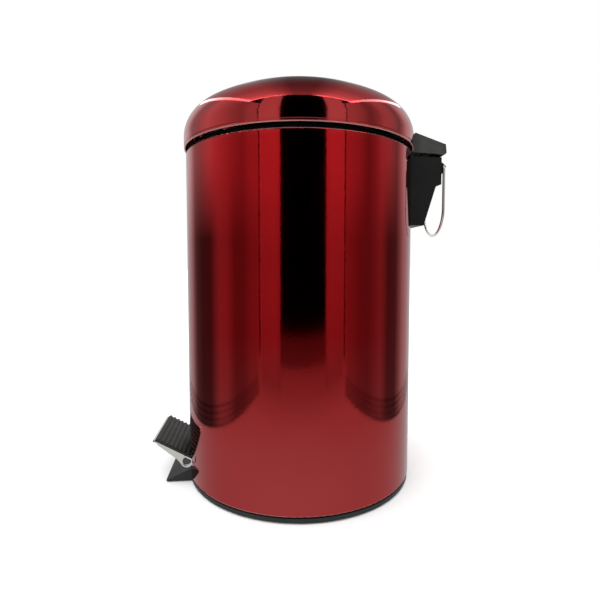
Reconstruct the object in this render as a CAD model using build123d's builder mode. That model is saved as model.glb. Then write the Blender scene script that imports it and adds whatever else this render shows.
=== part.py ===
"""Round red steel waste can: foot pedal, self-closing dome lid, lift-out bucket and rear carrying bail.

Frame: millimetres, +Z up. The origin is on the floor, on the axis of the round body. The pedal faces -Y
and the lid hinge is on the +Y side. All but the push rod's top end is mirror-symmetric about X = 0.
"""

import os
from math import atan2, cos, degrees, radians, sin, sqrt, tan

from build123d import *

os.makedirs("parts", exist_ok=True)

# ---------------------------------------------------------------- driving dimensions
sheet = 0.8  # thickness of the lacquered steel
running = 0.05  # radial clearance of a shaft in its hole

# body
body_radius = 125.0
body_top = 353.4
body_roll = 1.6  # outer radius of the turned-in top edge
body_flange_inner = 121.5
body_foot_width = 4.0  # the bottom edge, turned in over the base ring
body_foot_round = 0.6
rod_slot_length = 39.0
rod_slot_width = 6.0
skin_inner = body_radius - sheet

# base ring
base_radius = 124.4
base_top = 6.2
base_web = 3.2
base_inner = 104.0
base_skirt = 2.8
base_screw_circle = 113.0
base_screw_radius = 1.75
base_screw_head = 3.4
base_screw_head_height = 2.0
base_screw_socket = 1.4  # corner radius of the hexagon
base_screw_socket_depth = 1.2
base_screw_point = 3.0  # length past the bottom plate
base_foot_round = 1.0
base_reveal = (1.6, 1.6)  # depth and height of the step under the body's edge

# toe guard, a low ramp in front of the base ring
guard_half_width = 34.5
guard_tip = -147.0
guard_tip_height = 1.2
guard_knee = (-125.8, 10.7)
guard_height = 12.5
guard_back = -118.5
guard_crest = 3.0  # length of the level top
guard_corner = 2.0
guard_room = (73.0, 16.0)  # cut in the bottom plate for the back of the guard
guard_room_setback = 5.0

# bottom plate
plate_radius = 120.8
plate_rim_height = 3.0
plate_top = base_top + sheet

# pedal slot in the front of the body
slot_half_width = 40.0
slot_top = 43.0
slot_corner = 4.0

# rim ring under the lid
rim_radius = 123.6
rim_inner = 118.0
rim_top = 357.2
rim_ledge_inner = 113.6
rim_ledge_top = 350.0
rim_skirt_outer = 121.3
rim_skirt_bottom = 338.0
rim_step_radius = rim_inner + 0.2
rim_ledge_thickness = 3.0
rim_round = 0.8

# lid
lid_radius = 127.1
hem_bottom = 357.7
hem_radius = 1.0
hem_groove = 0.4
shoulder_radius = 35.0
shoulder_z = 369.8
crown_radius = 220.2
lid_rivet_x = 10.5
lid_screw_z = 364.0
buffer_arc = 8  # degrees
buffer_inner = 118.6
buffer_outer = 122.8
buffer_gap = 0.2  # above the rim ring

# lid hinge and its crank
hinge_y = 154.5
hinge_z = 352.5
hinge_pin_radius = 1.5
crank_reach = 18.0
crank_angle = 35.0  # below the level at rest, above it when the lid is open
bracket_ear_inner = 5.0
bracket_ear_thickness = 2.0
bracket_eye_radius = 3.2
bracket_slot_end = 7.0  # radius of the ear round the crank slot
bracket_slot_reach = crank_reach + 2.0
bracket_slot_travel = 4.6
bracket_slot_play = 1.8
bracket_foot = (28.0, 9.0)
bracket_foot_rear = lid_radius + 2.0
knuckle_inner = 9.5
knuckle_width = 3.5
knuckle_radius = 4.0
hinge_pin_head = 2.4
hinge_pin_head_height = 1.2

# push rod
rod_radius = 2.0
rod_low_y = 116.5
rod_high_y = hinge_y - crank_reach
rod_low_z = 11.0
rod_bend_z = 283.0
rod_top_z = hinge_z - crank_reach * tan(radians(crank_angle))
rod_end_x = 9.1
rod_bends = (8.0, 8.0, 3.0)
collar_radius = 5.0
collar_height = 4.0
collar_gap = 1.0  # above the lever
clip_height = 1.2
clip_gap = 2.1  # under the lever
nut_radius = 4.2
nut_height = 1.5
nut_gap = 0.5
guide_heights = {"rod_guide_lower": 110.0, "rod_guide_upper": 235.0}
guide_size = (18.0, 16.0)
guide_half_height = 5.0
guide_round = 2.0

# hinge housing
housing_half_width = 29.5
housing_flange_half_width = 31.0
housing_wall = 2.5
housing_top = 353.0
housing_rear = 156.5
housing_step_z = 323.0
housing_bottom = 277.5
housing_bottom_rear = 137.0
housing_screw_x = 19.0
housing_screw_z = (298.0, 332.0)
housing_screw_radius = 2.0
housing_screw_head = 3.6
housing_screw_head_height = 2.0
housing_screw_rear = 136.0
housing_boss_radius = 4.0
housing_boss_rear = 140.0
housing_opening_z = 346.5
housing_top_chamfer = 0.9

# hinge cap on the lid
cap_half_width = 29.5
cap_wall = 2.2
cap_edge_round = 0.8
cap_screw_x = 20.0
cap_screw_radius = 1.75
cap_screw_rear = 136.0
cap_screw_head_rear = 123.6
cap_screw_head = 3.2
cap_screw_head_height = 1.8
cap_boss_radius = 3.5

# carrying bail
bail_wire = 1.5
bail_y = 159.4
bail_z = 343.4
bail_half_width = 29.0
bail_bend_z = 297.0
bail_corner = 4.0
bail_end = 18.0  # where the wire ends inside the nose
nose_half_width = 24.0
nose_socket_depth = 8.0

# pedal lever
pivot_y = -55.0
pivot_z = 15.5
pivot_radius = 3.0
lever_half_width = 12.5
lever_top = 20.0
lever_sheet = 1.5
lever_rear = 123.2
bracket_inner = 13.2
bracket_sheet = 2.0
bracket_base_sheet = 1.5
bracket_length = 30.0
bracket_ear_radius = 6.5
bracket_rivet_pitch = (16.0, 20.0)
lever_flange = 1.5
lever_front = -108.0
lever_shoulder = 104.0  # the arm narrows from here to its rear end
lever_tongue_half_width = 8.0
lever_tongue_front = 114.0
lever_slot = (7.4, 5.6)
clip_radius = 5.2
clip_thickness = 0.9

# rivets
rivet_radius = 1.6
rivet_head = 2.8
rivet_head_height = 1.0

# pedal tread and its pad
tread_angle = 28.4
tread_half_width = 37.5
tread_sheet = 1.5
tread_length = 47.0
pad_thickness = 3.0
pad_tip = (-156.5, 48.9)
pad_half_width = 37.0
pad_setback = 1.8
rib_pitch = 5.0
rib_height = 1.2
rib_width = 2.8
rib_margin = 1.0
rib_round = 0.4
tongue_half_width = 18.0
tongue_rear = -86.0
tongue_start = 36.0  # along the tread from its tip
tread_corner = 4.0
tread_lip = 2.5
tread_rivets_y = -96.0
tread_rivet_pitch = 12.0
lobe_centre = (-124.2, 23.0)
lobe_radius = 6.6
lobe_hole = 4.6
lobe_rim = 0.7
lobe_rim_width = 1.2

# bucket
bucket_wall = 1.5
bucket_bottom = 50.0
bucket_bottom_radius = 104.0
bucket_top_radius = 112.3
bucket_lip_radius = 117.0
bucket_lip_bottom = 350.1
bucket_top = 354.0
handle_wire = 2.0
handle_z = 357.0
handle_radius = 112.5
handle_bend = 2.5
ear_inner = 107.3
ear_outer = 109.8
ear_radius = 3.4
ear_root = 6.0  # how far an ear reaches down inside the bucket
ear_bridge = 4.0  # height of the web from ear to wall
grip_arc = 40  # degrees
grip_section = (5.6, 6.8)
grip_round = 2.0


# ---------------------------------------------------------------- base
with BuildPart() as base_ring:
    with BuildSketch(Plane.XZ) as base_section:
        reveal_depth, reveal_height = base_reveal
        with BuildLine():
            Polyline(
                (base_inner, 0),
                (base_inner + base_skirt, 0),
                (base_inner + base_skirt, base_top - base_web),
                (base_radius - base_skirt, base_top - base_web),
                (base_radius - base_skirt, 0),
                (base_radius, 0),
                (base_radius, base_top - reveal_height),
                (base_radius - reveal_depth, base_top - reveal_height),
                (base_radius - reveal_depth, base_top),
                (base_inner, base_top),
                close=True,
            )
        make_face()
        foot_corner = base_section.vertices().group_by(Axis.X)[-1].sort_by(Axis.Y)[0]
        fillet(foot_corner, radius=base_foot_round)
    revolve(axis=Axis.Z)
    with BuildSketch(Plane.YZ):
        with BuildLine():
            Polyline(
                (guard_tip, 0),
                (guard_tip, guard_tip_height),
                guard_knee,
                (guard_back - guard_crest, guard_height),
                (guard_back, guard_height),
                (guard_back, 0),
                close=True,
            )
        make_face()
    extrude(amount=guard_half_width, both=True)
    guard_corners = base_ring.edges().filter_by(Axis.Z).group_by(Axis.Y)[0]
    fillet(guard_corners, radius=guard_corner)
    with PolarLocations(base_screw_circle, 4, start_angle=45):
        Hole(radius=base_screw_radius)
base_ring.part.label = "base_ring"
export_step(base_ring.part, "parts/base_ring.step")

with BuildPart() as bottom_plate:
    with BuildSketch(Plane.XZ):
        with BuildLine():
            Polyline(
                (0, base_top),
                (plate_radius, base_top),
                (plate_radius, plate_top + plate_rim_height),
                (plate_radius - sheet, plate_top + plate_rim_height),
                (plate_radius - sheet, plate_top),
                (0, plate_top),
                close=True,
            )
        make_face()
    revolve(axis=Axis.Z)
    # room for the back of the toe guard
    with BuildSketch(Plane.XY):
        with Locations((0, guard_back - guard_room_setback)):
            Rectangle(*guard_room)
    extrude(amount=2 * base_top + plate_rim_height, mode=Mode.SUBTRACT)
    with PolarLocations(base_screw_circle, 4, start_angle=45):
        Hole(radius=base_screw_radius)
    with Locations((0, pivot_y, 0)):
        with GridLocations(*bracket_rivet_pitch, 2, 2):
            Hole(radius=rivet_radius)
bottom_plate.part.label = "bottom_plate"
export_step(bottom_plate.part, "parts/bottom_plate.step")

with BuildPart() as base_screws:
    base_seat = Plane.XY.offset(base_top - base_web)
    base_head_bottom = base_seat.offset(-base_screw_head_height)
    with BuildSketch(base_head_bottom):
        with PolarLocations(base_screw_circle, 4, start_angle=45):
            Circle(base_screw_head)
            RegularPolygon(base_screw_socket, 6, mode=Mode.SUBTRACT)
    extrude(amount=base_screw_socket_depth)
    with BuildSketch(base_head_bottom.offset(base_screw_socket_depth)):
        with PolarLocations(base_screw_circle, 4, start_angle=45):
            Circle(base_screw_head)
    extrude(amount=base_screw_head_height - base_screw_socket_depth)
    with BuildSketch(base_seat):
        with PolarLocations(base_screw_circle, 4, start_angle=45):
            Circle(base_screw_radius)
    extrude(amount=base_web + sheet + base_screw_point)
base_screws.part.label = "base_screws"
export_step(base_screws.part, "parts/base_screws.step")


# ---------------------------------------------------------------- body
with BuildPart() as body_shell:
    with BuildSketch(Plane.XZ) as body_section:
        roll_centre = (body_radius - body_roll, body_top - body_roll)
        with BuildLine():
            Polyline(
                (body_radius, body_top - body_roll),
                (body_radius, base_top),
                (body_radius - body_foot_width, base_top),
                (body_radius - body_foot_width, plate_top),
                (skin_inner, plate_top),
                (skin_inner, body_top - body_roll),
            )
            CenterArc(roll_centre, body_roll - sheet, 0, 90)
            Polyline(
                (body_radius - body_roll, body_top - sheet),
                (body_flange_inner, body_top - sheet),
                (body_flange_inner, body_top),
                (body_radius - body_roll, body_top),
            )
            CenterArc(roll_centre, body_roll, 0, 90)
        make_face()
        body_foot = body_section.vertices().group_by(Axis.X)[-1].sort_by(Axis.Y)[0]
        fillet(body_foot, radius=body_foot_round)
    revolve(axis=Axis.Z)
    # pedal slot, open at the bottom edge
    with BuildSketch(Plane.XZ.offset(body_radius + 5.0)):
        RectangleRounded(2 * slot_half_width, 2 * slot_top, slot_corner)
    extrude(amount=-45.0, mode=Mode.SUBTRACT)
    # slot for the push rod and holes for the housing screws, all behind the hinge housing
    with BuildSketch(Plane.XZ.offset(-body_radius - 5.0)):
        with Locations((0, rod_bend_z + 21.0)):
            SlotOverall(rod_slot_length, rod_slot_width, rotation=90)
        for screw_z in housing_screw_z:
            with Locations((-housing_screw_x, screw_z), (housing_screw_x, screw_z)):
                Circle(housing_screw_radius + 0.3)
    extrude(amount=20.0, mode=Mode.SUBTRACT)
body_shell.part.label = "body_shell"
export_step(body_shell.part, "parts/body_shell.step")

with BuildPart() as rim_ring:
    with BuildSketch(Plane.XZ) as rim_section:
        with BuildLine():
            Polyline(
                (rim_ledge_inner, rim_ledge_top - rim_ledge_thickness),
                (rim_step_radius, rim_ledge_top - rim_ledge_thickness),
                (rim_step_radius, rim_skirt_bottom),
                (rim_skirt_outer, rim_skirt_bottom),
                (rim_skirt_outer, body_top),
                (rim_radius, body_top),
                (rim_radius, rim_top),
                (rim_inner, rim_top),
                (rim_inner, rim_ledge_top),
                (rim_ledge_inner, rim_ledge_top),
                close=True,
            )
        make_face()
        rim_corner = rim_section.vertices().group_by(Axis.X)[-1].sort_by(Axis.Y)[-1]
        fillet(rim_corner, radius=rim_round)
    revolve(axis=Axis.Z)
rim_ring.part.label = "rim_ring"
export_step(rim_ring.part, "parts/rim_ring.step")


# ---------------------------------------------------------------- bucket
with BuildPart() as inner_bucket:
    with BuildSketch(Plane.XZ) as bucket_section:
        with BuildLine():
            Polyline(
                (0, bucket_bottom),
                (bucket_bottom_radius, bucket_bottom),
                (bucket_top_radius, bucket_top - bucket_wall),
                (bucket_lip_radius - bucket_wall, bucket_top - bucket_wall),
                (bucket_lip_radius - bucket_wall, bucket_lip_bottom),
                (bucket_lip_radius, bucket_lip_bottom),
                (bucket_lip_radius, bucket_top),
                (bucket_top_radius - bucket_wall, bucket_top),
                (bucket_bottom_radius - bucket_wall, bucket_bottom + bucket_wall),
                (0, bucket_bottom + bucket_wall),
                close=True,
            )
        make_face()
        lip_corner = bucket_section.vertices().group_by(Axis.X)[-1].sort_by(Axis.Y)[-1]
        fillet(lip_corner, radius=1.0)
    revolve(axis=Axis.Z)
    # two ears that carry the handle
    for side in (-1, 1):
        with BuildSketch(Plane.YZ.offset(side * ear_inner)):
            with Locations((0, handle_z)):
                Circle(ear_radius)
            with Locations((0, (handle_z + bucket_top - ear_root) / 2)):
                Rectangle(2 * ear_radius, handle_z - bucket_top + ear_root)
        extrude(amount=side * (ear_outer - ear_inner))
        with BuildSketch(Plane.YZ.offset(side * ear_inner)):
            with Locations((0, bucket_top - ear_bridge)):
                Rectangle(2 * ear_radius, ear_bridge)
        extrude(amount=side * (bucket_top_radius - 0.5 - ear_inner))
    with BuildSketch(Plane.YZ):
        with Locations((0, handle_z)):
            Circle(handle_wire + running)
    extrude(amount=ear_outer + 1.0, both=True, mode=Mode.SUBTRACT)
inner_bucket.part.label = "inner_bucket"
export_step(inner_bucket.part, "parts/inner_bucket.step")

with BuildPart() as bucket_handle:
    with BuildLine(Plane.XY.offset(handle_z)):
        right_end = FilletPolyline(
            (ear_inner - 2.0, 0),
            (handle_radius, 0),
            (handle_radius, -2 * handle_bend),
            radius=handle_bend,
        )
        ThreePointArc(
            (handle_radius, -2 * handle_bend),
            (0, -2 * handle_bend - handle_radius + handle_bend),
            (-handle_radius, -2 * handle_bend),
        )
        FilletPolyline(
            (-handle_radius, -2 * handle_bend),
            (-handle_radius, 0),
            (2.0 - ear_inner, 0),
            radius=handle_bend,
        )
    with BuildSketch(Plane(right_end @ 0, z_dir=right_end % 0)):
        Circle(handle_wire)
    sweep()
bucket_handle.part.label = "bucket_handle"
export_step(bucket_handle.part, "parts/bucket_handle.step")

with BuildPart() as bucket_grip:
    grip_start = radians(-90 - grip_arc / 2)
    grip_axis = Axis((0, -handle_bend, 0), (0, 0, 1))
    grip_plane = Plane(
        origin=(0, -handle_bend, 0),
        x_dir=(cos(grip_start), sin(grip_start), 0),
        z_dir=(sin(grip_start), -cos(grip_start), 0),
    )
    with BuildSketch(grip_plane):
        with Locations((handle_radius - 0.3, handle_z + 0.6)):
            RectangleRounded(*grip_section, grip_round)
        with Locations((handle_radius, handle_z)):
            Circle(handle_wire, mode=Mode.SUBTRACT)
    revolve(axis=grip_axis, revolution_arc=grip_arc)
bucket_grip.part.label = "bucket_grip"
export_step(bucket_grip.part, "parts/bucket_grip.step")


# ---------------------------------------------------------------- lid
# The dome is a shoulder arc and a crown arc that meet without a kink.
shoulder_centre = (lid_radius - shoulder_radius, shoulder_z)
crown_drop = sqrt((crown_radius - shoulder_radius) ** 2 - shoulder_centre[0] ** 2)
crown_centre = (0, shoulder_z - crown_drop)
dome_joint = degrees(atan2(crown_drop, shoulder_centre[0]))
dome_top = crown_centre[1] + crown_radius
groove_top = hem_bottom + 2 * hem_radius + 0.6

with BuildPart() as lid_envelope:
    # the dome as a filled solid: it trims the pieces that are fixed to the lid's skin
    with BuildSketch(Plane.XZ):
        with BuildLine():
            Polyline((0, dome_top), (0, hem_bottom), (lid_radius, hem_bottom), (lid_radius, shoulder_z))
            CenterArc(shoulder_centre, shoulder_radius, 0, dome_joint)
            CenterArc(crown_centre, crown_radius, dome_joint, 90 - dome_joint)
        make_face()
    revolve(axis=Axis.Z)

with BuildPart() as lid_shell:
    with BuildSketch(Plane.XZ):
        with BuildLine():
            CenterArc(crown_centre, crown_radius, dome_joint, 90 - dome_joint)
            CenterArc(shoulder_centre, shoulder_radius, 0, dome_joint)
            Polyline(
                (lid_radius, shoulder_z),
                (lid_radius, groove_top + hem_groove),
                (lid_radius - hem_groove, groove_top),
                (lid_radius - hem_groove, hem_bottom + hem_radius),
                (lid_radius - hem_groove - sheet, hem_bottom + hem_radius),
                (lid_radius - hem_groove - sheet, groove_top),
                (lid_radius - sheet, groove_top + hem_groove),
                (lid_radius - sheet, shoulder_z),
            )
            CenterArc(shoulder_centre, shoulder_radius - sheet, 0, dome_joint)
            CenterArc(crown_centre, crown_radius - sheet, dome_joint, 90 - dome_joint)
            Line((0, dome_top - sheet), (0, dome_top))
        make_face()
        # rolled hem
        with Locations((lid_radius - hem_radius, hem_bottom + hem_radius)):
            Circle(hem_radius)
    revolve(axis=Axis.Z)
    # holes for the hinge cap's screws and the crank bracket's rivets
    with BuildSketch(Plane.XZ.offset(-lid_radius - 5.0)):
        with Locations((-cap_screw_x, lid_screw_z), (cap_screw_x, lid_screw_z)):
            Circle(cap_screw_radius + 0.15)
        with Locations((-lid_rivet_x, lid_screw_z), (lid_rivet_x, lid_screw_z)):
            Circle(rivet_radius)
    extrude(amount=25.0, mode=Mode.SUBTRACT)
lid_shell.part.label = "lid_shell"
export_step(lid_shell.part, "parts/lid_shell.step")

with BuildPart() as lid_buffers:
    for angle in (45, 135, 225, 315):
        start = radians(angle - buffer_arc / 2)
        buffer_plane = Plane(
            origin=(0, 0, 0),
            x_dir=(cos(start), sin(start), 0),
            z_dir=(sin(start), -cos(start), 0),
        )
        with BuildSketch(buffer_plane):
            with BuildLine():
                Polyline(
                    (buffer_inner, rim_top + buffer_gap),
                    (buffer_outer, rim_top + buffer_gap),
                    (buffer_outer, groove_top),
                    (lid_radius - hem_groove - sheet, groove_top),
                    (lid_radius - sheet, groove_top + hem_groove),
                    (lid_radius - sheet, groove_top + hem_groove + 3.0),
                    (buffer_inner, groove_top + 2.0),
                    close=True,
                )
            make_face()
        revolve(axis=Axis.Z, revolution_arc=buffer_arc)
lid_buffers.part.label = "lid_buffers"
export_step(lid_buffers.part, "parts/lid_buffers.step")

with BuildPart() as hinge_cap:
    with BuildSketch(Plane.YZ):
        with BuildLine():
            Polyline(
                (126.0, 379.0),
                (161.0, 367.0),
                (162.0, 358.0),
                (160.4, 356.0),
                (126.5, 357.5),
                (116.0, 357.5),
                (116.0, 366.0),
                (121.2, 366.0),
                close=True,
            )
        make_face()
    extrude(amount=cap_half_width, both=True)
    fillet(hinge_cap.edges().filter_by(Axis.X).group_by(Axis.Z)[-1], radius=cap_edge_round)
    with BuildSketch(Plane.YZ):
        with BuildLine():
            Polyline(
                (115.0, 350.0),
                (115.0, 366.5),
                (124.4, 366.5),
                (128.4, 375.8),
                (159.0, 365.3),
                (159.6, 358.0),
                (159.6, 350.0),
                close=True,
            )
        make_face()
    extrude(amount=cap_half_width - cap_wall, both=True, mode=Mode.SUBTRACT)
    # screw bosses, each hung from the cap's roof by a rib
    for side in (-1, 1):
        with BuildSketch(Plane.XZ.offset(-138.0)):
            with Locations((side * cap_screw_x, lid_screw_z)):
                Circle(cap_boss_radius)
            with Locations((side * cap_screw_x, lid_screw_z + 4.0)):
                Rectangle(2.0, 8.5)
        extrude(amount=16.0)
    with BuildSketch(Plane.XZ.offset(-cap_screw_rear)):
        with Locations((-cap_screw_x, lid_screw_z), (cap_screw_x, lid_screw_z)):
            Circle(cap_screw_radius)
    extrude(amount=20.0, mode=Mode.SUBTRACT)
    add(lid_envelope.part, mode=Mode.SUBTRACT)
hinge_cap.part.label = "hinge_cap"
export_step(hinge_cap.part, "parts/hinge_cap.step")

with BuildPart() as crank_bracket:
    # foot plate against the lid's skirt
    foot_width, foot_height = bracket_foot
    with BuildSketch(Plane.XY.offset(lid_screw_z - foot_height / 2)):
        with Locations((0, bracket_foot_rear - 3.0)):
            Rectangle(foot_width, 6.0)
    extrude(amount=foot_height)
    # two ears with the hinge eye and the crank's slotted end
    slot_y = hinge_y - bracket_slot_reach * cos(radians(crank_angle))
    slot_z = hinge_z - bracket_slot_reach * sin(radians(crank_angle))
    for side in (-1, 1):
        with BuildSketch(Plane.YZ.offset(side * bracket_ear_inner)):
            with BuildLine():
                CenterArc((hinge_y, hinge_z), bracket_eye_radius, 0, 360)
                CenterArc((slot_y, slot_z), bracket_slot_end, 0, 360)
                Line(
                    (bracket_foot_rear - 1.1, lid_screw_z - foot_height / 2),
                    (bracket_foot_rear - 1.1, lid_screw_z + foot_height / 2),
                )
            make_hull()
            with Locations((slot_y, slot_z)):
                SlotCenterToCenter(
                    bracket_slot_travel,
                    2 * rod_radius + bracket_slot_play,
                    rotation=crank_angle,
                    mode=Mode.SUBTRACT,
                )
            with Locations((hinge_y, hinge_z)):
                Circle(hinge_pin_radius + running, mode=Mode.SUBTRACT)
        extrude(amount=side * bracket_ear_thickness)
    with BuildSketch(Plane.XZ.offset(-lid_radius - 5.0)):
        with Locations((-lid_rivet_x, lid_screw_z), (lid_rivet_x, lid_screw_z)):
            Circle(rivet_radius)
    extrude(amount=10.0, mode=Mode.SUBTRACT)
    add(lid_envelope.part, mode=Mode.SUBTRACT)
crank_bracket.part.label = "crank_bracket"
export_step(crank_bracket.part, "parts/crank_bracket.step")

with BuildPart() as lid_rivets:
    lid_rivet_grip = 4.0
    for radius, rear, length in (
        (rivet_head, bracket_foot_rear + rivet_head_height, rivet_head_height),
        (rivet_radius, bracket_foot_rear, lid_rivet_grip),
        (rivet_head, bracket_foot_rear - lid_rivet_grip, rivet_head_height),
    ):
        with BuildSketch(Plane.XZ.offset(-rear)):
            with Locations((-lid_rivet_x, lid_screw_z), (lid_rivet_x, lid_screw_z)):
                Circle(radius)
        extrude(amount=length)
lid_rivets.part.label = "lid_rivets"
export_step(lid_rivets.part, "parts/lid_rivets.step")

with BuildPart() as cap_screws:
    for radius, rear, length in (
        (cap_screw_radius, cap_screw_rear, cap_screw_rear - cap_screw_head_rear),
        (cap_screw_head, cap_screw_head_rear, cap_screw_head_height),
    ):
        with BuildSketch(Plane.XZ.offset(-rear)):
            with Locations((-cap_screw_x, lid_screw_z), (cap_screw_x, lid_screw_z)):
                Circle(radius)
        extrude(amount=length)
cap_screws.part.label = "cap_screws"
export_step(cap_screws.part, "parts/cap_screws.step")


# ---------------------------------------------------------------- hinge housing on the body
with BuildPart() as hinge_housing:
    with BuildSketch(Plane.YZ):
        with BuildLine():
            Polyline(
                (118.0, housing_top),
                (housing_rear, housing_top),
                (housing_rear, housing_step_z),
                (housing_rear - 6.0, housing_step_z - 1.6),
                (housing_bottom_rear, housing_bottom),
                (118.0, housing_bottom),
                close=True,
            )
        make_face()
    extrude(amount=housing_half_width, both=True)
    chamfer(hinge_housing.edges().filter_by(Axis.Y).group_by(Axis.Z)[-1], length=housing_top_chamfer)
    with BuildSketch(Plane.XY.offset(housing_bottom)):
        with Locations((0, 122.0)):
            Rectangle(2 * housing_flange_half_width, 8.0)
    extrude(amount=housing_top - housing_bottom)
    with BuildSketch(Plane.YZ):
        with BuildLine():
            Polyline(
                (110.0, housing_top - housing_wall),
                (housing_rear - housing_wall, housing_top - housing_wall),
                (housing_rear - housing_wall, housing_step_z + 1.0),
                (housing_rear - 6.0 - housing_wall, housing_step_z - 0.6),
                (housing_bottom_rear - 2.0, housing_bottom + housing_wall),
                (110.0, housing_bottom + housing_wall),
                close=True,
            )
        make_face()
    extrude(amount=housing_half_width - housing_wall, both=True, mode=Mode.SUBTRACT)
    # screw bosses, each held by a rib to the side wall
    for side in (-1, 1):
        for screw_z in housing_screw_z:
            with BuildSketch(Plane.XZ.offset(-housing_boss_rear)):
                with Locations((side * housing_screw_x, screw_z)):
                    Circle(housing_boss_radius)
                with Locations((side * (housing_screw_x + 5.0), screw_z)):
                    Rectangle(10.0, 2.5)
            extrude(amount=20.0)
    # nose that carries the bail
    with BuildSketch(Plane.YZ):
        with BuildLine():
            Polyline(
                (155.0, 351.0),
                (housing_rear, 350.8),
                (164.0, 344.3),
                (160.8, 337.0),
                (housing_rear, 333.5),
                (155.0, 333.5),
                close=True,
            )
        make_face()
    extrude(amount=nose_half_width, both=True)
    # opening for the crank and the push rod
    with BuildSketch(Plane.YZ):
        with Locations((hinge_y, housing_opening_z)):
            Rectangle(65.0, 40.0, align=(Align.CENTER, Align.MIN))
    extrude(amount=knuckle_inner, both=True, mode=Mode.SUBTRACT)
    # hinge knuckles
    for side in (-1, 1):
        with BuildSketch(Plane.YZ.offset(side * knuckle_inner)):
            with Locations((hinge_y, hinge_z)):
                Circle(knuckle_radius)
            with Locations((hinge_y - 1.0, hinge_z - 6.0)):
                Rectangle(2 * knuckle_radius - 2.0, 12.0)
            with Locations((hinge_y, hinge_z)):
                Circle(hinge_pin_radius, mode=Mode.SUBTRACT)
        extrude(amount=side * knuckle_width)
    with BuildSketch(Plane.YZ):
        with Locations((hinge_y, hinge_z)):
            Circle(hinge_pin_radius)
    extrude(amount=knuckle_inner + knuckle_width, both=True, mode=Mode.SUBTRACT)
    # room for the hinge pin's heads
    for side in (-1, 1):
        with BuildSketch(Plane.YZ.offset(side * (knuckle_inner + knuckle_width))):
            with Locations((hinge_y, hinge_z)):
                Circle(knuckle_radius)
        extrude(amount=side * 1.6, mode=Mode.SUBTRACT)
    # bail sockets in both ends of the nose
    for side in (-1, 1):
        with BuildSketch(Plane.YZ.offset(side * (nose_half_width - nose_socket_depth))):
            with Locations((bail_y, bail_z)):
                Circle(bail_wire + running)
        extrude(amount=side * (nose_socket_depth + 1.0), mode=Mode.SUBTRACT)
    with BuildSketch(Plane.XZ.offset(-housing_screw_rear - 2.0)):
        for screw_z in housing_screw_z:
            with Locations((-housing_screw_x, screw_z), (housing_screw_x, screw_z)):
                Circle(housing_screw_radius)
    extrude(amount=25.0, mode=Mode.SUBTRACT)
    Cylinder(body_radius, 400.0, align=(Align.CENTER, Align.CENTER, Align.MIN), mode=Mode.SUBTRACT)
hinge_housing.part.label = "hinge_housing"
export_step(hinge_housing.part, "parts/hinge_housing.step")

with BuildPart() as housing_screws:
    housing_screw_length = 14.0
    for radius, rear, length in (
        (housing_screw_radius, housing_screw_rear, housing_screw_length),
        (housing_screw_head, housing_screw_rear - housing_screw_length, housing_screw_head_height),
    ):
        with BuildSketch(Plane.XZ.offset(-rear)):
            for screw_z in housing_screw_z:
                with Locations((-housing_screw_x, screw_z), (housing_screw_x, screw_z)):
                    Circle(radius)
        extrude(amount=length)
housing_screws.part.label = "housing_screws"
export_step(housing_screws.part, "parts/housing_screws.step")

with BuildPart() as hinge_pin:
    with BuildSketch(Plane.YZ):
        with Locations((hinge_y, hinge_z)):
            Circle(hinge_pin_radius)
    extrude(amount=knuckle_inner + knuckle_width, both=True)
    for side in (-1, 1):
        with BuildSketch(Plane.YZ.offset(side * (knuckle_inner + knuckle_width))):
            with Locations((hinge_y, hinge_z)):
                Circle(hinge_pin_head)
        extrude(amount=side * hinge_pin_head_height)
hinge_pin.part.label = "hinge_pin"
export_step(hinge_pin.part, "parts/hinge_pin.step")

with BuildPart() as carry_bail:
    with BuildLine(Plane.XZ.offset(-bail_y)):
        bail_start = FilletPolyline(
            (bail_end, bail_z),
            (bail_half_width, bail_z),
            (bail_half_width, bail_bend_z),
            radius=bail_corner,
        )
        ThreePointArc(
            (bail_half_width, bail_bend_z),
            (0, bail_bend_z - bail_half_width),
            (-bail_half_width, bail_bend_z),
        )
        FilletPolyline(
            (-bail_half_width, bail_bend_z),
            (-bail_half_width, bail_z),
            (-bail_end, bail_z),
            radius=bail_corner,
        )
    with BuildSketch(Plane(bail_start @ 0, z_dir=bail_start % 0)):
        Circle(bail_wire)
    sweep()
carry_bail.part.label = "carry_bail"
export_step(carry_bail.part, "parts/carry_bail.step")


# ---------------------------------------------------------------- push rod
with BuildPart() as push_rod:
    with BuildLine():
        rod_line = FilletPolyline(
            (0, rod_low_y, rod_low_z),
            (0, rod_low_y, rod_bend_z),
            (0, rod_high_y, rod_bend_z + rod_high_y - rod_low_y),
            (0, rod_high_y, rod_top_z),
            (rod_end_x, rod_high_y, rod_top_z),
            radius=rod_bends,
        )
    with BuildSketch(Plane(rod_line @ 0, z_dir=rod_line % 0)):
        Circle(rod_radius)
    sweep()
push_rod.part.label = "push_rod"
export_step(push_rod.part, "parts/push_rod.step")

with BuildPart() as rod_collar:
    with BuildSketch(Plane.XY.offset(lever_top + collar_gap)):
        with Locations((0, rod_low_y)):
            Circle(collar_radius)
            Circle(rod_radius, mode=Mode.SUBTRACT)
    extrude(amount=collar_height)
rod_collar.part.label = "rod_collar"
export_step(rod_collar.part, "parts/rod_collar.step")

with BuildPart() as rod_clip:
    with BuildSketch(Plane.XY.offset(lever_top - lever_sheet - clip_gap)):
        with Locations((0, rod_low_y)):
            Circle(collar_radius)
            Circle(rod_radius, mode=Mode.SUBTRACT)
    extrude(amount=-clip_height)
rod_clip.part.label = "rod_clip"
export_step(rod_clip.part, "parts/rod_clip.step")

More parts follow.
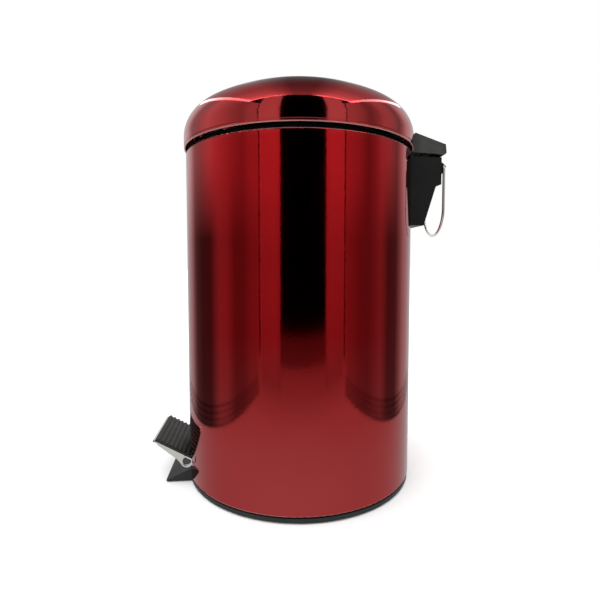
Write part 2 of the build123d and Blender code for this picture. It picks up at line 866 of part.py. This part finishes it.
with BuildPart() as rod_nut:
    with BuildSketch(Plane.YZ.offset(bracket_ear_inner + bracket_ear_thickness + nut_gap)):
        with Locations((rod_high_y, rod_top_z)):
            Circle(nut_radius)
            Circle(rod_radius, mode=Mode.SUBTRACT)
    extrude(amount=nut_height)
rod_nut.part.label = "rod_nut"
export_step(rod_nut.part, "parts/rod_nut.step")

# two guides on the inside of the body, alike but for their height
for guide_name, guide_z in guide_heights.items():
    with BuildPart() as rod_guide:
        with BuildSketch(Plane.XY.offset(guide_z)):
            with Locations((0, rod_low_y + 4.0)):
                Rectangle(*guide_size)
            with Locations((0, rod_low_y)):
                Circle(rod_radius + running, mode=Mode.SUBTRACT)
        extrude(amount=guide_half_height, both=True)
        Cylinder(skin_inner, 800.0, mode=Mode.INTERSECT)
        fillet(rod_guide.edges().filter_by(Axis.Z).group_by(Axis.Y)[0], radius=guide_round)
    rod_guide.part.label = guide_name
    export_step(rod_guide.part, f"parts/{guide_name}.step")


# ---------------------------------------------------------------- pedal
with BuildPart() as lever_arm:
    with BuildSketch(Plane.XY.offset(lever_top - lever_sheet)):
        with BuildLine():
            Polyline(
                (-lever_half_width, lever_front),
                (lever_half_width, lever_front),
                (lever_half_width, lever_shoulder),
                (lever_tongue_half_width, lever_tongue_front),
                (lever_tongue_half_width, lever_rear),
                (-lever_tongue_half_width, lever_rear),
                (-lever_tongue_half_width, lever_tongue_front),
                (-lever_half_width, lever_shoulder),
                close=True,
            )
        make_face()
        with Locations((0, rod_low_y + 1.2)):
            SlotOverall(*lever_slot, rotation=90, mode=Mode.SUBTRACT)
        with Locations((0, tread_rivets_y)):
            with GridLocations(tread_rivet_pitch, tread_rivet_pitch, 2, 2):
                Circle(rivet_radius, mode=Mode.SUBTRACT)
    extrude(amount=lever_sheet)
    for side in (-1, 1):
        with BuildSketch(Plane.YZ.offset(side * (lever_half_width - lever_flange))):
            with BuildLine():
                Polyline(
                    (-104.0, lever_top - lever_sheet),
                    (-104.0, 15.5),
                    (-70.0, 11.0),
                    (-40.0, 11.0),
                    (95.0, 15.5),
                    (103.0, lever_top - lever_sheet),
                    close=True,
                )
            make_face()
            with Locations((pivot_y, pivot_z)):
                Circle(pivot_radius + running, mode=Mode.SUBTRACT)
        extrude(amount=side * lever_flange)
lever_arm.part.label = "lever_arm"
export_step(lever_arm.part, "parts/lever_arm.step")

slope = radians(tread_angle)
plate_tip_y = pad_tip[0] - pad_thickness * sin(slope) - pad_setback * cos(slope)
plate_tip_z = pad_tip[1] - pad_thickness * cos(slope) + pad_setback * sin(slope)
tread_plane = Plane(
    origin=(0, plate_tip_y, plate_tip_z),
    x_dir=(1, 0, 0),
    z_dir=(0, sin(slope), cos(slope)),
)
tongue_top = lever_top + tread_sheet
tongue_start_y = plate_tip_y + tongue_start * cos(slope)
tongue_start_z = plate_tip_z - tongue_start * sin(slope)
tongue_bend_y = plate_tip_y + (plate_tip_z - tongue_top) / tan(slope)

with BuildPart() as pedal_tread:
    # tread plate; the local Y axis of its plane runs down the slope, towards the body
    with BuildSketch(tread_plane.offset(-tread_sheet)) as plate_outline:
        with Locations((0, tread_length / 2)):
            Rectangle(2 * tread_half_width, tread_length)
        for tread_side in (0, -1):
            tip_corner = plate_outline.vertices().group_by(Axis.X)[tread_side].sort_by(Axis.Y)[0]
            fillet(tip_corner, radius=tread_corner)
    extrude(amount=tread_sheet)
    # turned-down lip along the tip
    with BuildSketch(tread_plane.offset(-tread_sheet)):
        with Locations((0, tread_sheet / 2)):
            Rectangle(2 * (tread_half_width - tread_corner), tread_sheet)
    extrude(amount=-tread_lip)
    # tongue that bends level on top of the lever
    with BuildSketch(Plane.YZ):
        with BuildLine():
            Polyline(
                (tongue_start_y, tongue_start_z),
                (tongue_bend_y, tongue_top),
                (tongue_rear, tongue_top),
                (tongue_rear, lever_top),
                (tongue_bend_y - tread_sheet * tan(slope / 2), lever_top),
                (tongue_start_y - tread_sheet * sin(slope), tongue_start_z - tread_sheet * cos(slope)),
                close=True,
            )
        make_face()
    extrude(amount=tongue_half_width, both=True)
    # side flanges with a rounded lobe and a round opening near the body
    for side in (-1, 1):
        with BuildSketch(Plane.YZ.offset(side * (tread_half_width - tread_sheet))):
            with BuildLine():
                Polyline(
                    (plate_tip_y + 4.0 * cos(slope), plate_tip_z - 4.0 * sin(slope) - 0.7),
                    (-155.6, 42.2),
                    (-135.0, 25.8),
                    (lobe_centre[0] - 0.65 * lobe_radius, lobe_centre[1] - 0.75 * lobe_radius),
                    (lobe_centre[0] + lobe_radius, lobe_centre[1]),
                    (plate_tip_y + tread_length * cos(slope), plate_tip_z - tread_length * sin(slope) - 0.7),
                    close=True,
                )
            make_face()
            with Locations(lobe_centre):
                Circle(lobe_radius)
                Circle(lobe_hole, mode=Mode.SUBTRACT)
        extrude(amount=side * tread_sheet)
        with BuildSketch(Plane.YZ.offset(side * tread_half_width)):
            with Locations(lobe_centre):
                Circle(lobe_radius)
                Circle(lobe_radius - lobe_rim_width, mode=Mode.SUBTRACT)
        extrude(amount=side * lobe_rim)
    # the lobes end flush with the top of the tread
    with BuildSketch(tread_plane):
        with Locations((0, tread_length / 2)):
            Rectangle(3 * tread_half_width, tread_length + 3.0)
    extrude(amount=lobe_radius, mode=Mode.SUBTRACT)
    with Locations((0, tread_rivets_y, 0)):
        with GridLocations(tread_rivet_pitch, tread_rivet_pitch, 2, 2):
            Hole(radius=rivet_radius)
pedal_tread.part.label = "pedal_tread"
export_step(pedal_tread.part, "parts/pedal_tread.step")

with BuildPart() as pedal_pad:
    pad_length = tread_length - pad_setback
    pad_slab = pad_thickness - rib_height
    with BuildSketch(tread_plane):
        with Locations((0, pad_setback + pad_length / 2)):
            RectangleRounded(2 * pad_half_width, pad_length, tread_corner)
    extrude(amount=pad_slab)
    rib_count = int((pad_length - rib_width) / rib_pitch) + 1
    with BuildSketch(tread_plane.offset(pad_slab)):
        with Locations((0, pad_setback + pad_length / 2)):
            with GridLocations(0, rib_pitch, 1, rib_count):
                SlotOverall(2 * pad_half_width - rib_margin, rib_width)
    extrude(amount=rib_height)
    fillet(pedal_pad.edges().filter_by(Axis.X).group_by(SortBy.LENGTH)[0], radius=rib_round)
pedal_pad.part.label = "pedal_pad"
export_step(pedal_pad.part, "parts/pedal_pad.step")

with BuildPart() as lever_rivets:
    lever_underside = lever_top - lever_sheet
    for radius, bottom, length in (
        (rivet_head, lever_underside - rivet_head_height, rivet_head_height),
        (rivet_radius, lever_underside, lever_sheet + tread_sheet),
        (rivet_head, tongue_top, rivet_head_height),
    ):
        with BuildSketch(Plane.XY.offset(bottom)):
            with Locations((0, tread_rivets_y)):
                with GridLocations(tread_rivet_pitch, tread_rivet_pitch, 2, 2):
                    Circle(radius)
        extrude(amount=length)
lever_rivets.part.label = "lever_rivets"
export_step(lever_rivets.part, "parts/lever_rivets.step")

with BuildPart() as pivot_bracket:
    with BuildSketch(Plane.XY.offset(plate_top)):
        with Locations((0, pivot_y)):
            Rectangle(2 * (bracket_inner + bracket_sheet), bracket_length)
        with Locations((0, pivot_y)):
            with GridLocations(*bracket_rivet_pitch, 2, 2):
                Circle(rivet_radius, mode=Mode.SUBTRACT)
    extrude(amount=bracket_base_sheet)
    for side in (-1, 1):
        with BuildSketch(Plane.YZ.offset(side * bracket_inner)):
            with Locations((pivot_y, pivot_z)):
                Circle(bracket_ear_radius)
            with Locations((pivot_y, (plate_top + pivot_z) / 2)):
                Rectangle(2 * bracket_ear_radius, pivot_z - plate_top)
            with Locations((pivot_y, pivot_z)):
                Circle(pivot_radius, mode=Mode.SUBTRACT)
        extrude(amount=side * bracket_sheet)
pivot_bracket.part.label = "pivot_bracket"
export_step(pivot_bracket.part, "parts/pivot_bracket.step")

with BuildPart() as bracket_rivets:
    for radius, bottom, length in (
        (rivet_head, base_top - rivet_head_height, rivet_head_height),
        (rivet_radius, base_top, sheet + bracket_base_sheet),
        (rivet_head, plate_top + bracket_base_sheet, rivet_head_height),
    ):
        with BuildSketch(Plane.XY.offset(bottom)):
            with Locations((0, pivot_y)):
                with GridLocations(*bracket_rivet_pitch, 2, 2):
                    Circle(radius)
        extrude(amount=length)
bracket_rivets.part.label = "bracket_rivets"
export_step(bracket_rivets.part, "parts/bracket_rivets.step")

pin_end = bracket_inner + bracket_sheet + 3.0
with BuildPart() as pivot_pin:
    with BuildSketch(Plane.YZ):
        with Locations((pivot_y, pivot_z)):
            Circle(pivot_radius)
    extrude(amount=pin_end, both=True)
    chamfer(pivot_pin.edges().filter_by(GeomType.CIRCLE), length=0.5)
pivot_pin.part.label = "pivot_pin"
export_step(pivot_pin.part, "parts/pivot_pin.step")

with BuildPart() as pivot_clips:
    for side in (-1, 1):
        with BuildSketch(Plane.YZ.offset(side * (bracket_inner + bracket_sheet + 0.1))):
            with Locations((pivot_y, pivot_z)):
                Circle(clip_radius)
                Circle(pivot_radius, mode=Mode.SUBTRACT)
        extrude(amount=side * clip_thickness)
pivot_clips.part.label = "pivot_clips"
export_step(pivot_clips.part, "parts/pivot_clips.step")
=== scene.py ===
"""Materials, studio and camera for the red pedal bin. Metres, in the CAD model's frame: the pedal faces -Y,
the hinge is on +Y, and the camera stands on the +X side."""

from math import cos, pi, radians, sin

import bpy
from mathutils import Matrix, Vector

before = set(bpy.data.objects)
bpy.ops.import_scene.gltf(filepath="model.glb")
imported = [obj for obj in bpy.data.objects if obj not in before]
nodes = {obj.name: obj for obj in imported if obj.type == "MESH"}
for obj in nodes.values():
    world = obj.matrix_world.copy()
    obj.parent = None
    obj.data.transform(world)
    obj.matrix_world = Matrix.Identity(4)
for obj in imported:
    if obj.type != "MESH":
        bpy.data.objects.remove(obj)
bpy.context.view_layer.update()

# ---------------------------------------------------------------- camera
view_turn = radians(5.0)  # the picture is taken this far round from the +X side, towards the pedal
view_pitch = radians(3.2)  # and looks down by this much
towards_camera = Vector((cos(view_turn), -sin(view_turn), 0))
picture_right = Vector((sin(view_turn), cos(view_turn), 0))
line_of_sight = -towards_camera * cos(view_pitch) - Vector((0, 0, sin(view_pitch)))

camera_data = bpy.data.cameras.new("camera")
camera_data.sensor_width = 36.0
camera_data.lens = 26.34
camera_data.shift_x = 0.0020
camera_data.shift_y = -0.0240
camera_data.clip_start = 0.01
camera = bpy.data.objects.new("camera", camera_data)
camera.location = (0.5074, -0.0444, 0.2379)
camera.rotation_mode = "QUATERNION"
camera.rotation_quaternion = line_of_sight.to_track_quat("-Z", "Y")
bpy.context.collection.objects.link(camera)
bpy.context.scene.camera = camera
bpy.context.scene.view_settings.view_transform = "Standard"


# ---------------------------------------------------------------- node helpers
class Surface:
    """A material under construction: a Principled shader and short calls that add nodes in front of it."""

    def __init__(self, name, **sockets):
        self.material = bpy.data.materials.new(name)
        self.material.use_nodes = True
        self.tree = self.material.node_tree
        self.shader = self.tree.nodes["Principled BSDF"]
        self.place = self.node("ShaderNodeTexCoord").outputs["Object"]
        for socket, value in sockets.items():
            self.shader.inputs[socket.replace("_", " ")].default_value = value

    def node(self, kind, **settings):
        made = self.tree.nodes.new(kind)
        for setting, value in settings.items():
            setattr(made, setting, value)
        return made

    def link(self, source, target):
        self.tree.links.new(source, target)

    def stretched(self, scale):
        """Object coordinates scaled by a factor for each axis."""
        mapping = self.node("ShaderNodeMapping")
        mapping.inputs["Scale"].default_value = scale
        self.link(self.place, mapping.inputs["Vector"])
        return mapping.outputs["Vector"]

    def noise(self, size, detail=2.0, place=None, roughness=0.5, distortion=0.0):
        """Noise whose blobs are about size metres across."""
        made = self.node("ShaderNodeTexNoise")
        made.inputs["Scale"].default_value = 1.0 / size
        made.inputs["Detail"].default_value = detail
        made.inputs["Roughness"].default_value = roughness
        made.inputs["Distortion"].default_value = distortion
        self.link(place or self.place, made.inputs["Vector"])
        return made.outputs["Fac"]

    def cells(self, size):
        """Distance to the nearest of scattered points that are about size metres apart."""
        made = self.node("ShaderNodeTexVoronoi")
        made.inputs["Scale"].default_value = 1.0 / size
        self.link(self.place, made.inputs["Vector"])
        return made.outputs["Distance"]

    def height(self):
        """Height above the floor, in metres, of the surface at rest."""
        apart = self.node("ShaderNodeSeparateXYZ")
        self.link(self.place, apart.inputs["Vector"])
        return apart.outputs["Z"]

    def bands(self, *ranges):
        """1 between any pair of heights, where an edge carries a painted highlight, and 0 elsewhere."""
        wear_and_highlight = None
        for low, high in ranges:
            inside = self.node("ShaderNodeMath", operation="COMPARE")
            self.link(self.height(), inside.inputs[0])
            inside.inputs[1].default_value = (low + high) / 2
            inside.inputs[2].default_value = (high - low) / 2
            if wear_and_highlight is None:
                wear_and_highlight = inside.outputs["Value"]
            else:
                either = self.node("ShaderNodeMath", operation="MAXIMUM")
                self.link(wear_and_highlight, either.inputs[0])
                self.link(inside.outputs["Value"], either.inputs[1])
                wear_and_highlight = either.outputs["Value"]
        return wear_and_highlight

    def ramp(self, source, *stops):
        """A colour ramp; each stop is a position and a colour or a grey level."""
        made = self.node("ShaderNodeValToRGB")
        elements = made.color_ramp.elements
        for index, (position, level) in enumerate(stops):
            colour = (level,) * 3 if isinstance(level, float) else level
            element = elements[index] if index < 2 else elements.new(position)
            element.position = position
            element.color = (*colour, 1.0)
        self.link(source, made.inputs["Fac"])
        return made.outputs["Color"]

    def mix(self, factor, first, second, blend="MIX"):
        """Mixes two colours, each a socket or a plain colour, by a socket or a number."""
        made = self.node("ShaderNodeMix", data_type="RGBA", blend_type=blend)
        for value, socket in ((factor, made.inputs[0]), (first, made.inputs[6]), (second, made.inputs[7])):
            if isinstance(value, bpy.types.NodeSocket):
                self.link(value, socket)
            elif isinstance(value, float):
                socket.default_value = value
            else:
                socket.default_value = (*value, 1.0)
        return made.outputs[2]

    def bump(self, height, depth, normal=None):
        """Relief of depth metres from a height between 0 and 1."""
        made = self.node("ShaderNodeBump")
        made.inputs["Distance"].default_value = depth
        self.link(height, made.inputs["Height"])
        if normal is not None:
            self.link(normal, made.inputs["Normal"])
        return made.outputs["Normal"]

    def set(self, **sources):
        """Links each source to the shader's socket of that name."""
        for socket, source in sources.items():
            self.link(source, self.shader.inputs[socket.replace("_", " ")])


# ---------------------------------------------------------------- materials
# heights of the turned edges of the sheet, which carry a painted pale highlight
body_foot = (0.0062, 0.0069)
body_roll = (0.3526, 0.3534)
lid_hem = (0.3577, 0.3585)
# heights between which a painted pale sheen on the lacquer fades out up the body, and in again on the lid
foot_sheen = (0.06, 0.17)
lid_sheen = (0.350, 0.358)


def red_lacquer():
    """Clear red lacquer over bright steel, with the faint orange peel of a baked coat."""
    made = Surface("red_lacquer", Coat_Weight=0.25, Coat_IOR=1.45, Coat_Roughness=0.04)
    cloud = made.noise(0.09, detail=3.0)
    clear = made.ramp(cloud, (0.3, (0.50, 0.003, 0.006)), (0.7, (0.56, 0.005, 0.009)))
    # painted sheen: the lacquer is paler and pinker near the foot of the body, standing in for the floor's
    # reflection, and on the lid, standing in for highlights
    painted_sheen = made.ramp(cloud, (0.3, (0.53, 0.050, 0.052)), (0.7, (0.58, 0.064, 0.066)))
    painted_sheen_mask = made.ramp(
        made.height(), (foot_sheen[0], 1.0), (foot_sheen[1], 0.0), (lid_sheen[0], 0.0), (lid_sheen[1], 0.8)
    )
    body = made.mix(painted_sheen_mask, clear, painted_sheen)
    edge_on = made.node("ShaderNodeLayerWeight")
    edge_on.inputs["Blend"].default_value = 0.35
    tint = made.mix(edge_on.outputs["Facing"], body, (0.34, 0.010, 0.014))
    # painted highlight: the turned edges at these heights are made pale and hardly metallic
    painted_edge_highlight = made.bands(body_foot, body_roll, lid_hem)
    smear = made.noise(0.03, detail=4.0, roughness=0.6)
    peel = made.noise(0.0028, detail=2.0)
    wave = made.noise(0.05, detail=1.0)
    wavy = made.bump(wave, 0.00003)
    made.set(
        Base_Color=made.mix(painted_edge_highlight, tint, (0.34, 0.15, 0.14)),
        Metallic=made.ramp(painted_edge_highlight, (0.0, 1.0), (1.0, 0.15)),
        Roughness=made.ramp(smear, (0.3, 0.07), (0.75, 0.11)),
        Normal=made.bump(peel, 0.000022, wavy),
        Coat_Normal=made.bump(peel, 0.000008, wavy),
    )
    return made.material


def moulded_plastic(name, dark, light, gloss=(0.36, 0.50), grain=0.0007, shine=1.5):
    """Black moulded plastic with a spark-eroded grain and a few lighter scuffs; gloss is its lowest and
    highest roughness, grain the size of its pits and shine its index of refraction."""
    scuff_gain = 2.2  # the scuffs are this many times as pale as the plastic
    made = Surface(name, IOR=shine)
    cloud = made.noise(0.02, detail=4.0)
    scuff = made.noise(0.004, detail=6.0, roughness=0.7, distortion=0.4)
    colour = made.ramp(cloud, (0.3, dark), (0.75, light))
    wear_and_highlight = made.ramp(scuff, (0.62, 0.0), (0.80, 0.35))
    pits = made.noise(grain, detail=3.0, roughness=0.6)
    made.set(
        Base_Color=made.mix(wear_and_highlight, colour, tuple(scuff_gain * tone for tone in light)),
        Roughness=made.ramp(cloud, (0.3, gloss[0]), (0.75, gloss[1])),
        Normal=made.bump(pits, 0.00006),
    )
    return made.material


def ribbed_rubber():
    """Charcoal rubber, dusty in patches, with a fine open skin."""
    made = Surface("ribbed_rubber", IOR=1.45)
    dust = made.noise(0.012, detail=5.0, roughness=0.65)
    skin = made.noise(0.0006, detail=3.0)
    wear_and_highlight = made.ramp(dust, (0.3, (0.021, 0.021, 0.020)), (0.8, (0.036, 0.035, 0.033)))
    # painted shade: the grooves between the ribs are darkened where ambient occlusion finds them shut in
    groove_occlusion = made.node("ShaderNodeAmbientOcclusion", samples=8)
    groove_occlusion.inputs["Distance"].default_value = 0.004
    painted_groove_shade = made.ramp(groove_occlusion.outputs["AO"], (0.55, 0.0), (0.95, 1.0))
    made.set(
        Base_Color=made.mix(painted_groove_shade, (0.004, 0.004, 0.004), wear_and_highlight),
        Roughness=made.ramp(dust, (0.3, 0.42), (0.8, 0.55)),
        Normal=made.bump(skin, 0.00008),
    )
    return made.material


def polished_steel():
    """Bright nickel plating with fine drawing lines and a few cloudy patches."""
    made = Surface("polished_steel", Metallic=1.0)
    cloud = made.noise(0.015, detail=4.0)
    lines = made.noise(0.0006, detail=2.0, place=made.stretched((0.12, 1.0, 1.0)))
    made.set(
        Base_Color=made.ramp(cloud, (0.3, (0.95, 0.93, 0.89)), (0.75, (0.88, 0.85, 0.80))),
        Roughness=made.ramp(cloud, (0.3, 0.06), (0.75, 0.14)),
        Normal=made.bump(lines, 0.000012),
    )
    return made.material


def zinc_plate():
    """Bright zinc plating: grey steel with a crystalline mottle and a slight yellow and blue cast."""
    made = Surface("zinc_plate", Metallic=0.9)
    mottle = made.cells(0.004)
    cast = made.noise(0.02, detail=3.0)
    grey = made.ramp(mottle, (0.0, (0.52, 0.53, 0.55)), (0.9, (0.64, 0.65, 0.66)))
    warm = made.ramp(cast, (0.3, (0.95, 0.97, 1.0)), (0.7, (1.0, 0.97, 0.90)))
    scratch = made.noise(0.0009, detail=4.0, place=made.stretched((1.0, 0.15, 1.0)))
    made.set(
        Base_Color=made.mix(1.0, grey, warm, blend="MULTIPLY"),
        Roughness=made.ramp(mottle, (0.0, 0.28), (0.9, 0.42)),
        Normal=made.bump(scratch, 0.00002),
    )
    return made.material


finishes = {
    "red_lacquered_steel": red_lacquer(),
    "black_plastic": moulded_plastic(
        "black_plastic", (0.005, 0.006, 0.005), (0.008, 0.009, 0.008), shine=1.26
    ),
    "bucket_plastic": moulded_plastic(
        "bucket_plastic", (0.020, 0.021, 0.023), (0.032, 0.033, 0.035), grain=0.0012
    ),
    "rubber": ribbed_rubber(),
    "polished_wire": polished_steel(),
    "zinc_plated_steel": zinc_plate(),
}
for node in nodes.values():
    for slot in node.material_slots:
        slot.material = finishes[slot.material.name.split(".")[0]]

# mouldings whose plastic looks different from the housing's
odd_plastics = {
    # painted shade: it is made nearly black and matt because it lies in the dark gap under the lid
    "rim_ring": moulded_plastic(
        "rim_plastic_painted_shade", (0.001, 0.001, 0.001), (0.002, 0.002, 0.002), gloss=(0.75, 0.9), shine=1.08
    ),
    # it is paler and rougher than the housing's plastic
    "hinge_cap": moulded_plastic(
        "cap_plastic", (0.016, 0.016, 0.015), (0.040, 0.039, 0.036), gloss=(0.42, 0.55)
    ),
    # it stands on the floor and is dusty
    "base_ring": moulded_plastic(
        "base_plastic", (0.011, 0.012, 0.012), (0.020, 0.022, 0.021), shine=1.4
    ),
}
for name, plastic in odd_plastics.items():
    nodes[name].material_slots[0].material = plastic


# ---------------------------------------------------------------- studio
# A white light tent stands round the bin, open in a slit at the front, with a dark room behind the camera.
# Its cloth only shows in reflections, so that the bin can be looked at from outside it.
side_height = 0.62
foot_height = 0.036  # the hem and folds at the foot of the walls
front_height = 0.87
front_near = 0.50
roof_near = 0.30
tent_back = -0.30
floor_near = 1.12
hem_top = 0.004
cloth_start = 0.006
fold_heights = (0.012, 0.0215, 0.031)
fold_width = 0.0022
flap_edges = {"left": (-0.134, -0.3185), "right": (0.205, 0.402)}  # each flap from the slit outwards
lamp_width = 0.03
lamp_glow = 5.0
lamp_gap = 0.001  # the lamps hang this far under the roof
front_lamp_width = 0.008
front_lamp_inner = {"left": -0.06, "right": 0.08}
mirror_drop = 0.0005  # the mirrored floor lies this far under the CAD's floor
mirror_margin = 0.2  # and reaches this far past the walls
floor_drop = 0.001  # the floor that the camera sees


def glow(
    name, low, high=None, turn=(0.40, 0.60), up=((0.0, 1.0), (1.0, 1.0)), strength=1.0
):
    """A glowing cloth: its brightness follows low along the panel near the floor and high above, changes
    from one to the other between the two heights of turn, and is dimmed up the panel by up."""
    made = Surface(name)
    across = made.node("ShaderNodeSeparateXYZ")
    made.link(made.node("ShaderNodeTexCoord").outputs["UV"], across.inputs["Vector"])
    brightness = made.ramp(across.outputs["X"], *low)
    if high:
        height = made.ramp(across.outputs["Y"], (turn[0], 0.0), (turn[1], 1.0))
        brightness = made.mix(height, brightness, made.ramp(across.outputs["X"], *high))
    brightness = made.mix(1.0, brightness, made.ramp(across.outputs["Y"], *up), blend="MULTIPLY")
    light = made.node("ShaderNodeEmission")
    light.inputs["Strength"].default_value = strength
    made.link(brightness, light.inputs["Color"])
    output = made.tree.nodes["Material Output"]
    made.link(light.outputs["Emission"], output.inputs["Surface"])
    return made.material


def panel(name, corners, material):
    """A stage panel with four corners, given as distances towards the camera, to the picture's right, and
    up. Its texture runs from 0 to 1 from the first corner to the second, and on to the third."""
    mesh = bpy.data.meshes.new(name)
    places = [
        towards_camera * near + picture_right * right + Vector((0, 0, up))
        for near, right, up in corners
    ]
    mesh.from_pydata(places, [], [(0, 1, 2, 3)])
    texture = mesh.uv_layers.new(name="UVMap")
    for loop, place in zip(texture.data, ((0, 0), (1, 0), (1, 1), (0, 1))):
        loop.uv = place
    mesh.materials.append(material)
    made = bpy.data.objects.new(name, mesh)
    bpy.context.collection.objects.link(made)
    made.visible_camera = False
    made.visible_diffuse = False
    made.visible_shadow = False


def wall(name, start, end, low, high, material):
    """An upright panel between two heights, from one floor point to another; each point is a distance
    towards the camera and one to the picture's right."""
    panel(name, ((*start, low), (*end, low), (*end, high), (*start, high)), material)


def level_panel(name, near_edge, far_edge, left, right, height, material):
    """A level panel between two distances from the camera's side and between its left and right edges."""
    corners = (
        (near_edge, left, height),
        (near_edge, right, height),
        (far_edge, right, height),
        (far_edge, left, height),
    )
    panel(name, corners, material)


# a dark hem and three thin folds at the foot of the walls
folds = [(0.0, 0.25), (hem_top / foot_height, 0.3), (cloth_start / foot_height, 0.9)]
for fold in fold_heights:
    folds += [
        ((fold - fold_width) / foot_height, 0.9),
        (fold / foot_height, 0.05),
        ((fold + fold_width) / foot_height, 1.0),
    ]
folds.append((1.0, 1.0))

# where each side wall stands, where its front edge is, and how bright it is from front to back
side_walls = {
    "left": {
        "right": -0.285,
        "front": 0.435,
        "low": (
            (0.0, 0.60), (0.015, 0.31), (0.12, 0.28), (0.21, 0.18), (0.29, 0.18), (0.36, 0.36),
            (0.42, 0.37), (0.49, 0.09), (0.57, 0.07), (0.65, 0.12), (0.74, 0.50), (1.0, 0.60),
        ),
        "high": (
            (0.0, 0.80), (0.015, 0.52), (0.12, 0.50), (0.21, 0.36), (0.29, 0.45), (0.36, 0.58),
            (0.49, 0.80), (0.57, 0.52), (0.65, 0.42), (0.74, 0.80), (1.0, 0.70),
        ),
    },
    "right": {
        "right": 0.312,
        "front": 0.388,
        "low": (
            (0.0, 0.60), (0.015, 0.31), (0.10, 0.27), (0.19, 0.20), (0.28, 0.18),
            (0.40, 0.32), (0.47, 0.11), (0.56, 0.10), (0.68, 0.50), (1.0, 0.60),
        ),
        "high": (
            (0.0, 0.80), (0.015, 0.54), (0.10, 0.50), (0.19, 0.42), (0.27, 0.25), (0.34, 0.36),
            (0.40, 0.58), (0.48, 0.52), (0.56, 0.28), (0.68, 0.75), (1.0, 0.70),
        ),
    },
}
for side_name, facts in side_walls.items():
    start = (facts["front"], facts["right"])
    end = (tent_back, facts["right"])
    cloth = glow(f"side_{side_name}", facts["low"], facts["high"])
    wall(f"side_{side_name}", start, end, foot_height, side_height, cloth)
    foot_cloth = glow(f"foot_{side_name}", facts["low"], up=folds)
    wall(f"foot_{side_name}", start, end, 0.0, foot_height, foot_cloth)

# front flaps, from the slit outwards
for side_name, (slit_edge, outer_edge) in flap_edges.items():
    flap = glow(
        f"flap_{side_name}",
        ((0.0, 0.36), (0.2, 0.43), (0.93, 0.41), (0.96, 0.60)),
        ((0.0, 0.62), (0.2, 0.69), (0.93, 0.66), (0.96, 0.90)),
        turn=(0.28, 0.50),
        up=((0.0, 0.74), (0.08, 0.86), (0.20, 1.0)),
    )
    wall(f"flap_{side_name}", (front_near, slit_edge), (front_near, outer_edge), 0.0, front_height, flap)

left_edge = side_walls["left"]["right"]
right_edge = side_walls["right"]["right"]
back_cloth = glow("back", ((0.0, 0.55), (0.5, 0.75), (1.0, 0.55)))
wall("back", (tent_back, left_edge), (tent_back, right_edge), 0.0, side_height, back_cloth)

roof_cloth = glow(
    "roof",
    ((0.0, 0.55), (0.3, 0.42), (0.44, 0.14), (0.56, 0.14), (0.7, 0.42), (1.0, 0.55)),
    up=((0.0, 1.0), (0.12, 0.60), (0.32, 0.34), (1.0, 0.26)),
    strength=3.2,
)
level_panel("roof", roof_near, tent_back, left_edge, right_edge, side_height, roof_cloth)
lamp = glow("lamp", ((0.0, 1.0), (1.0, 1.0)), strength=lamp_glow)
lamp_height = side_height - lamp_gap
level_panel("lamp_left", roof_near, tent_back, left_edge, left_edge + lamp_width, lamp_height, lamp)
level_panel("lamp_right", roof_near, tent_back, right_edge - lamp_width, right_edge, lamp_height, lamp)
for side_name, inner in front_lamp_inner.items():
    outer = side_walls[side_name]["right"]
    level_panel(
        f"lamp_front_{side_name}", roof_near, roof_near - front_lamp_width, inner, outer, lamp_height, lamp
    )

# the floor as the bin mirrors it: dim out in the room, bright in the tent
floor_cloth = glow(
    "mirror_floor",
    ((0.0, 1.0), (1.0, 1.0)),
    up=((0.0, 0.10), (0.28, 0.14), (0.31, 0.30), (0.44, 0.36), (0.55, 0.50), (0.70, 0.54), (1.0, 0.56)),
)
mirror_left = left_edge - mirror_margin
mirror_right = right_edge + mirror_margin
level_panel("mirror_floor", floor_near, tent_back, mirror_left, mirror_right, -mirror_drop, floor_cloth)


def pale_floor():
    """A wide round floor, nearly white, with a faint paper tooth."""
    made = Surface("pale_floor", Roughness=0.9)
    tooth = made.noise(0.3, detail=3.0)
    made.set(
        Base_Color=made.ramp(tooth, (0.3, 0.93), (0.7, 0.95)),
        Normal=made.bump(made.noise(0.002, detail=2.0), 0.00005),
    )
    sides = 96
    floor_radius = 12.0
    rim = [
        (floor_radius * cos(2 * pi * step / sides), floor_radius * sin(2 * pi * step / sides), -floor_drop)
        for step in range(sides)
    ]
    mesh = bpy.data.meshes.new("pale_floor")
    mesh.from_pydata(rim, [], [tuple(range(sides))])
    mesh.materials.append(made.material)
    floor = bpy.data.objects.new("pale_floor", mesh)
    bpy.context.collection.objects.link(floor)
    floor.visible_glossy = False


pale_floor()

world = bpy.data.worlds.new("white_room")
world.use_nodes = True
world.node_tree.nodes["Background"].inputs["Color"].default_value = (1.0, 1.0, 1.0, 1.0)
bpy.context.scene.world = world
world.cycles_visibility.glossy = False

sky_light = bpy.data.lights.new("overhead", "SUN")
sky_light.energy = 1.8
sky_light.angle = radians(70)
overhead = bpy.data.objects.new("overhead", sky_light)
overhead.rotation_euler = (radians(12), radians(18), 0)
overhead.visible_glossy = False
bpy.context.collection.objects.link(overhead)
